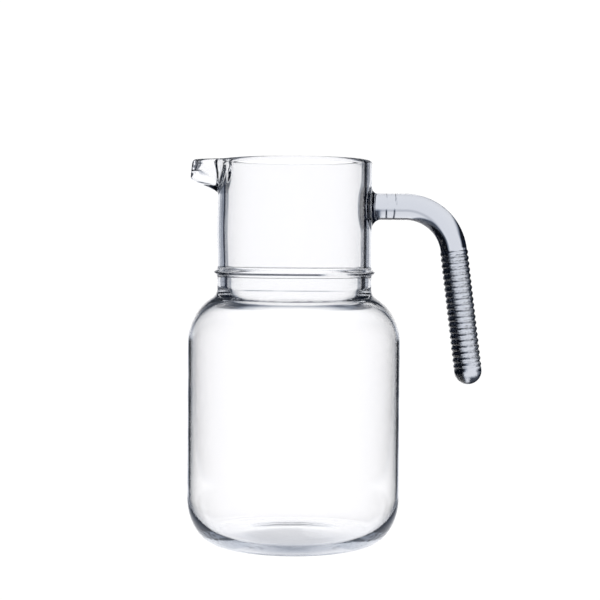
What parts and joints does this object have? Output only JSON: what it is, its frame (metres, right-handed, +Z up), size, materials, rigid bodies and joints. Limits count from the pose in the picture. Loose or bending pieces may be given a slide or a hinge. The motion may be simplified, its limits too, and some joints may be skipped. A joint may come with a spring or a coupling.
{
  "type": "water jug",
  "caption": "Large clear glass water jug: straight-sided body, rounded shoulder, beaded neck, pulled spout and an open rod handle with a ribbed grip.",
  "frame": {"origin": "bottom centre of the whole jug's box, on the plane of the ring that it stands on", "axes": "+Z up along the vessel's axis, +X towards the handle, -X towards the spout, +Y across the jug"},
  "size_m": [0.1836, 0.1324, 0.2385],
  "materials": {
    "vessel_glass": "clear colourless glass with a faint cool tint, fire polished",
    "handle_glass": "clear colourless solid glass rod, pressed, slightly greyer because it is thick"
  },
  "bodies": {
    "root": {"vessel": "vessel_glass", "handle": "handle_glass"}
  },
  "joints": []
}
